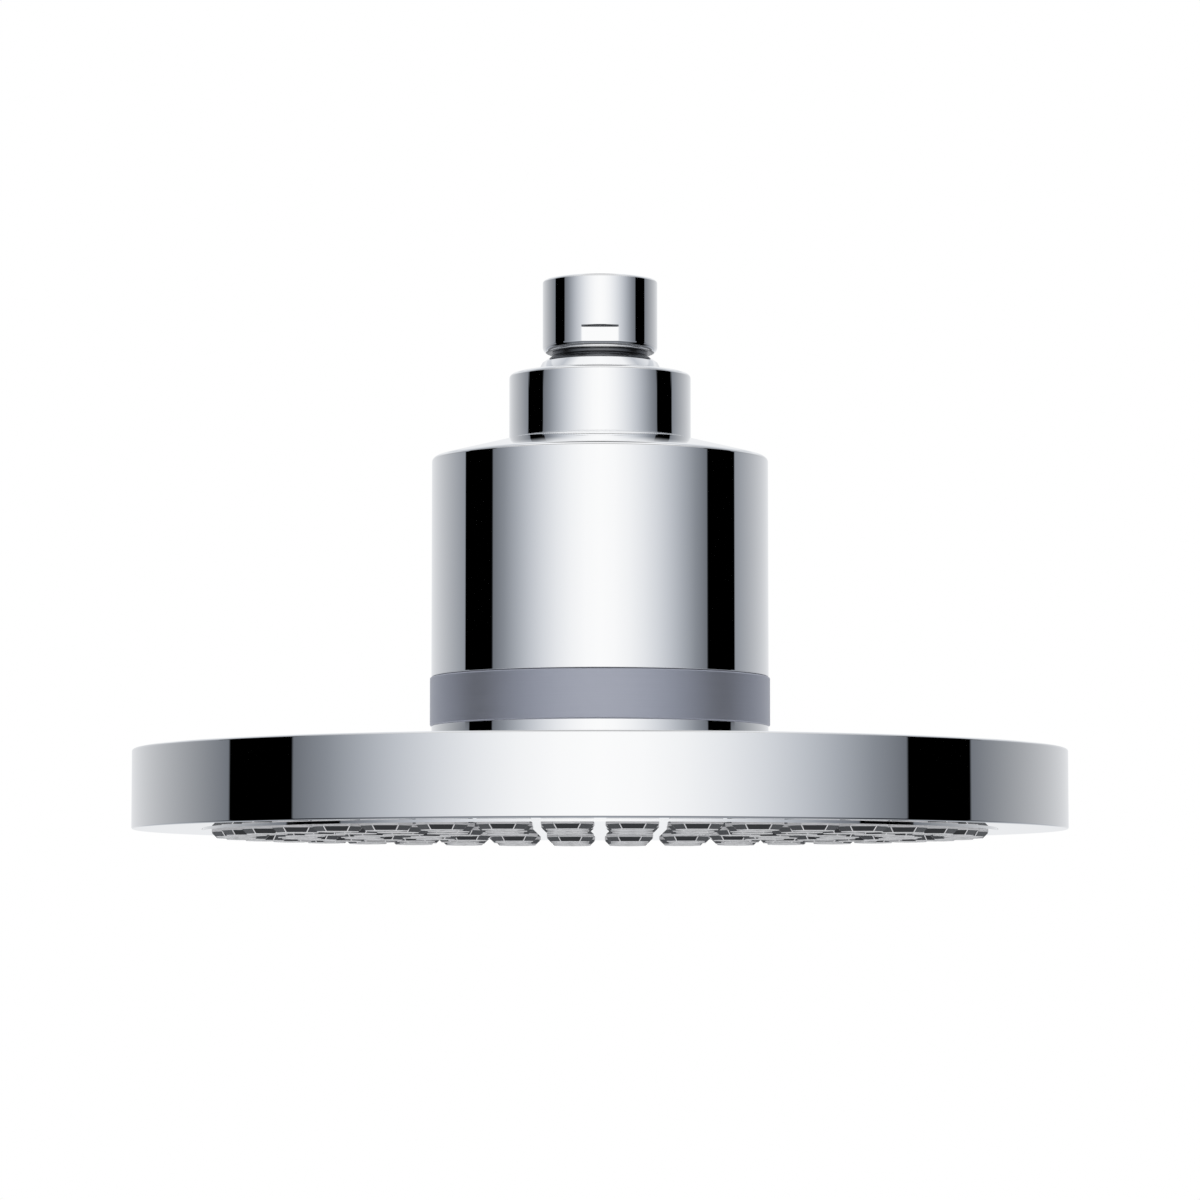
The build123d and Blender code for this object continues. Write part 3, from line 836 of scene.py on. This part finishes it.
class SHOWER_OT_nozzles(Operator):
    """Silicone mat with a hexagonal nozzle for each hole of the spray plate."""

    bl_idname = "shower.nozzles"
    bl_label = "Nozzles"

    def execute(self, context):
        sizes = context.scene.shower_sizes
        flange, face, mat_low = span("spray_plate")
        mat_radius, tip, mat_top = span("nozzle_mat")
        edge = sizes.nozzle_edge
        rows = [
            (NOZZLE_ROOT, mat_low + 0.0002, edge),
            (NOZZLE_ROOT, face, edge),
            (NOZZLE_ROOT, FACET_TOP, edge),
            (NOZZLE_SHOULDER, FACET_LOW, edge),
            (NOZZLE_SHOULDER - 0.00008, CONE_TOP, edge),
            (NOZZLE_SHOULDER - 0.0003, CONE_LOW, edge),
            (NOZZLE_MOUTH, tip, edge),
            (OUTLET + 0.0001, tip, edge * 0.5),
            (OUTLET, tip + 0.0002, edge * 0.5),
            (OUTLET * 0.9, mat_low, edge * 0.5),
        ]
        template = np.concatenate([hexagon_row(*row) for row in rows])
        index = np.arange(len(rows) * 12).reshape(len(rows), 12)
        beside = np.roll(index, -1, 1)
        quads = np.stack([index[:-1], index[1:], beside[1:], beside[:-1]], -1)
        # Painted highlight: the pale quads, which are the root wall, the two thin bands at the
        # lower edge and the corner bevels between them, take a light colour that stands in for
        # light caught on the rounded edges
        pale = np.zeros(quads.shape[:2], bool)
        pale[[1, 3, 4]] = True
        pale[1:5, ::2] = True
        places = nozzle_places(flange - INSERT_LEDGE, sizes.nozzle_spacing)
        vertices = places[:, None, :] + template
        offsets = np.arange(len(places)) * len(template)
        nozzle_quads = quads.reshape(-1, 4) + offsets[:, None, None]
        caps = []
        for offset in offsets:
            caps.append((index[0] + offset).tolist())
            caps.append((index[-1][::-1] + offset).tolist())
        sheet = rounded([
            (OUTLET, mat_low, 0.0), (mat_radius, mat_low, SOFT_CORNER),
            (mat_radius, mat_top, SOFT_CORNER), (OUTLET, mat_top, 0.0)])
        shape = joined((vertices.reshape(-1, 3), nozzle_quads.reshape(-1, 4)), turned(sheet, 128))
        colours = context.scene.shower_colours
        silicone = silicone_finish("dark silicone", tuple(colours.silicone))
        # The second material is the painted highlight on the nozzles' edges
        edge_highlight = silicone_finish("silicone edge highlight", tuple(colours.silicone_edge_highlight))
        made = piece("nozzles", shape, "spray_head", ["nozzle_mat"], silicone,
                     caps, second=edge_highlight, marked=np.tile(pale.reshape(-1), len(places)))
        made.data.shade_flat()
        return {"FINISHED"}


def nozzle_places(insert_radius, spacing):
    """Centre of each nozzle, in evenly spaced rings that leave the front line and the middle clear.

    A ring of radius r has 2 floor(pi r / spacing) nozzles, and starts half a step from the front.
    """
    places = []
    for ring in np.linspace(FIRST_RING, insert_radius - LAST_RING_MARGIN, RING_COUNT):
        count = 2 * int(math.pi * ring / spacing)
        angles = np.pi / 2 + np.pi / count + np.arange(count) * 2 * np.pi / count
        places.append(np.stack([ring * np.cos(angles), ring * np.sin(angles), 0 * angles], 1))
    return np.concatenate(places)


class SHOWER_OT_inside(Operator):
    """Finishes of the seals, screens, screws and filter cartridge, which keep their CAD shape."""

    bl_idname = "shower.inside"
    bl_label = "Inside Pieces"

    def execute(self, context):
        colours = context.scene.shower_colours
        white = plastic_finish("white plastic", tuple(colours.white_plastic))
        grey = plastic_finish("grey plastic", (0.3, 0.31, 0.35))
        coat_nodes(white, "cartridge_cup", "cartridge_cap", "ball_ring", "ball_seat",
                   "chamber_plate")
        coat_nodes(grey, "flow_regulator", "lock_nut")
        coat_nodes(rubber_finish(), "inlet_washer", "ball_seal", "housing_seal", "cartridge_seal",
                   "stub_washer")
        coat_nodes(screen_finish(), "inlet_screen", "lower_screen", "middle_screen", "upper_screen")
        coat_nodes(chrome(), "chamber_screws")
        carbon = granule_finish("carbon grains", (0.01, 0.01, 0.01), (0.05, 0.05, 0.05), 0.0012)
        calcium = granule_finish("calcium grains", (0.6, 0.58, 0.52), (0.85, 0.83, 0.78), 0.0025)
        alloy = granule_finish("copper and zinc grains", (0.4, 0.25, 0.08), (0.75, 0.55, 0.25),
                               0.0006, metallic=0.9, roughness=0.35)
        coat_nodes(carbon, "carbon_bed")
        coat_nodes(calcium, "calcium_bed")
        coat_nodes(alloy, "copper_zinc_bed")
        coat_nodes(felt_finish(), "felt_pad")
        return {"FINISHED"}


# Stage

# Light that the metal mirrors: a soft light in front that falls off with the cosine of the angle to
# a power towards the dark side panel, and an even rise from the panel to the back
FRONT_LIGHT = 0.98
SIDE_LIGHT = 0.16
BACK_LIGHT = 0.88
FALLOFF = 1.3

# The side panel's height from which each row holds, as the sine of the elevation, its two edges in
# degrees from the front, and the light just behind it
PANEL_EDGES = (
    (0.0, 78.2, 100.4, 0.18), (0.05, 77.8, 104.8, 0.29), (0.1133, 76.8, 103.6, 0.23),
    (0.127, 75.4, 101.5, 0.21),
)

# Light that the metal mirrors from higher up and from lower down, by the same angle
HIGH_LIGHTS = ((0, 0.97), (60, 0.9), (90, 0.55), (120, 0.75), (180, 0.92))
SHELF_LIGHTS = ((0, 0.03), (60, 0.05), (90, 0.25), (125, 0.6), (180, 0.85))
LOW_LIGHTS = ((0, 0.15), (60, 0.12), (77, 0.0), (104, 0.0), (125, 0.3), (180, 0.7))
FLOOR_LIGHTS = ((0, 0.36), (60, 0.3), (77, 0.04), (104, 0.04), (120, 0.3), (180, 0.5))
ZENITH_LIGHT = (0.08, 0.08, 0.09, 1)
WHITE = (1, 1, 1, 1)
PANEL_EDGE_WIDTH = 0.3
ROW_BLEND = 0.004

# The floor is a disc that starts to fade at one radius and is gone at another, in metres
FLOOR_RADIUS = 2.5
FLOOR_FADE = (0.7, 2.3)
FLOOR_CORNERS = 96


def studio_stops(near, far, behind):
    """Angles and lights round the studio, for a dark panel between near and far degrees.

    In front the light is side + (front - side) * cos(share of the way to the panel * 90 degrees) **
    falloff, and behind the panel it rises in a straight line to the back.
    """
    parts = np.linspace(0, 1, 9)
    falloff = np.cos(parts * math.pi / 2).clip(0) ** FALLOFF
    front = zip(near * parts, SIDE_LIGHT + (FRONT_LIGHT - SIDE_LIGHT) * falloff)
    panel = ((near + PANEL_EDGE_WIDTH, 0.0), (far - PANEL_EDGE_WIDTH, 0.0))
    return [*front, *panel, (far, behind), (180, BACK_LIGHT)]


class SHOWER_OT_stage(Operator):
    """White studio, with dark side panels that only the gloss mirrors, a floor and the camera."""

    bl_idname = "shower.stage"
    bl_label = "Stage"

    def execute(self, context):
        settings = context.scene.shower_stage
        scene = context.scene
        scene.view_settings.view_transform = "Standard"
        camera_data = bpy.data.cameras.new("camera")
        camera_data.lens = settings.lens
        camera_data.sensor_width = 36.0
        camera_data.clip_end = 50.0
        camera = bpy.data.objects.new("camera", camera_data)
        scene.collection.objects.link(camera)
        camera.location = (0, -settings.distance, -settings.drop)
        camera.rotation_euler = (math.pi / 2 + settings.pitch, 0, 0)
        scene.camera = camera
        self.world(scene)
        self.floor(scene, settings.floor_drop)
        return {"FINISHED"}

    def world(self, scene):
        """White to the camera and to matt surfaces; gloss mirrors the lights of the studio.

        A light is read by the angle round the object, atan2(|x|, -y), from the front at 0 to the
        back at 180 degrees. Each band of heights has its own row of lights, and neighbouring bands
        run into each other.
        """
        world = bpy.data.worlds.new("studio")
        scene.world = world
        world.use_nodes = True
        tree = world.node_tree
        tree.nodes.clear()
        node = node_maker(tree)

        def math_node(operation, *values):
            return node("ShaderNodeMath", {"operation": operation},
                        **{f"i{index}": value for index, value in enumerate(values)}).outputs[0]

        def ramp(share, stops):
            """A slightly cool light by the share of 180 degrees."""
            made = node("ShaderNodeValToRGB", i0=share)
            elements = made.color_ramp.elements
            while len(elements) < len(stops):
                elements.new(1.0)
            for element, (angle, light) in zip(elements, stops):
                element.position = angle / 180
                cool = 0.9 + 0.1 * light
                element.color = (light * cool, light, light * (1 + 0.17 * (1 - light)), 1)
            return made.outputs[0]

        def mixed(share, first, second):
            return node("ShaderNodeMix", {"data_type": "RGBA"},
                        i0=share, i6=first, i7=second).outputs[2]

        def rise(value, low, high):
            """0 below low, 1 above high and smooth in between; with high below low, it falls."""
            return node("ShaderNodeMapRange", {"interpolation_type": "SMOOTHSTEP"},
                        i0=value, i1=low, i2=high).outputs[0]

        direction = node("ShaderNodeTexCoord").outputs["Generated"]
        x, y, z = node("ShaderNodeSeparateXYZ", i0=direction).outputs
        forward = math_node("MULTIPLY", y, -1.0)
        round_angle = math_node("ARCTAN2", math_node("ABSOLUTE", x), forward)
        share = math_node("DIVIDE", round_angle, math.pi)
        level = None
        for height, near, far, behind in PANEL_EDGES:
            lights = ramp(share, studio_stops(near, far, behind))
            if level is None:
                level = lights
            else:
                level = mixed(rise(z, height - ROW_BLEND, height + ROW_BLEND), level, lights)
        drop = math_node("MULTIPLY", z, -1.0)
        studio = mixed(rise(z, 0.22, 0.4), level, ramp(share, HIGH_LIGHTS))
        shelf = math_node("MULTIPLY", rise(z, 0.4, 0.44), rise(z, 0.55, 0.51))
        studio = mixed(shelf, studio, ramp(share, SHELF_LIGHTS))
        studio = mixed(rise(z, 0.93, 0.97), studio, ZENITH_LIGHT)
        studio = mixed(rise(drop, 0.12, 0.25), studio, ramp(share, LOW_LIGHTS))
        studio = mixed(rise(drop, 0.45, 0.6), studio, ramp(share, FLOOR_LIGHTS))
        path = node("ShaderNodeLightPath")
        seen = mixed(path.outputs["Is Glossy Ray"], WHITE, studio)
        background = node("ShaderNodeBackground", Color=seen)
        node("ShaderNodeOutputWorld", Surface=background.outputs[0])

    def floor(self, scene, drop):
        """A round pale floor far below: a flat disc that fades out towards its rim."""
        angle = np.arange(FLOOR_CORNERS) * 2 * math.pi / FLOOR_CORNERS
        rim = FLOOR_RADIUS * np.stack([np.cos(angle), np.sin(angle)], 1)
        mesh = bpy.data.meshes.new("floor")
        mesh.from_pydata([(x, y, -drop) for x, y in rim.tolist()], [], [range(FLOOR_CORNERS)])
        floor = bpy.data.objects.new("floor", mesh)
        scene.collection.objects.link(floor)
        material, shader, node, tree = finish("pale floor", (0.88, 0.88, 0.88), roughness=0.9)
        tint(node, tree, shader, grain(node, 6.0), (0.87, 0.87, 0.87), (0.89, 0.89, 0.89))
        place = node("ShaderNodeTexCoord").outputs["Object"]
        flat = node("ShaderNodeVectorMath", {"operation": "MULTIPLY"}, i0=place, i1=(1, 1, 0))
        reach = node("ShaderNodeVectorMath", {"operation": "LENGTH"}, i0=flat.outputs[0])
        fade = node("ShaderNodeMapRange", i0=reach.outputs["Value"],
                    i1=FLOOR_FADE[0], i2=FLOOR_FADE[1])
        path = node("ShaderNodeLightPath")
        hidden = node("ShaderNodeMath", {"operation": "MAXIMUM"},
                      i0=path.outputs["Is Glossy Ray"], i1=fade.outputs[0])
        clear = node("ShaderNodeBsdfTransparent")
        mix = node("ShaderNodeMixShader", i0=hidden.outputs[0],
                   i1=shader.outputs[0], i2=clear.outputs[0])
        tree.links.new(mix.outputs[0], tree.nodes["Material Output"].inputs["Surface"])
        mesh.materials.append(material)


class SHOWER_PT_panel(Panel):
    """Lists the pieces and their settings in the sidebar."""

    bl_label = "Filtered Shower Head"
    bl_idname = "SHOWER_PT_panel"
    bl_space_type = "VIEW_3D"
    bl_region_type = "UI"
    bl_category = "Shower"

    def draw(self, context):
        layout = self.layout
        for group in GROUP_NAMES:
            settings = getattr(context.scene, group)
            box = layout.box()
            for name in settings.__annotations__:
                box.prop(settings, name)
        for operator in OPERATORS:
            layout.operator(operator.bl_idname)


OPERATORS = (
    SHOWER_OT_connector,
    SHOWER_OT_collar,
    SHOWER_OT_housing,
    SHOWER_OT_base,
    SHOWER_OT_disc,
    SHOWER_OT_nozzles,
    SHOWER_OT_inside,
    SHOWER_OT_stage,
)
GROUP_NAMES = {
    "shower_sizes": ShowerSizes,
    "shower_colours": ShowerColours,
    "shower_stage": ShowerStage,
}


def register():
    """Makes Blender know the settings, the operators and the panel."""
    for kind in (*GROUP_NAMES.values(), *OPERATORS, SHOWER_PT_panel):
        bpy.utils.register_class(kind)
    for name, group in GROUP_NAMES.items():
        setattr(bpy.types.Scene, name, PointerProperty(type=group))


def unregister():
    """Takes them away again."""
    for name in GROUP_NAMES:
        delattr(bpy.types.Scene, name)
    for kind in (SHOWER_PT_panel, *reversed(OPERATORS), *reversed(GROUP_NAMES.values())):
        bpy.utils.unregister_class(kind)


def main():
    """Builds every piece and the stage."""
    register()
    for operator in OPERATORS:
        group, name = operator.bl_idname.split(".")
        getattr(getattr(bpy.ops, group), name)()


if __name__ == "__main__":
    main()
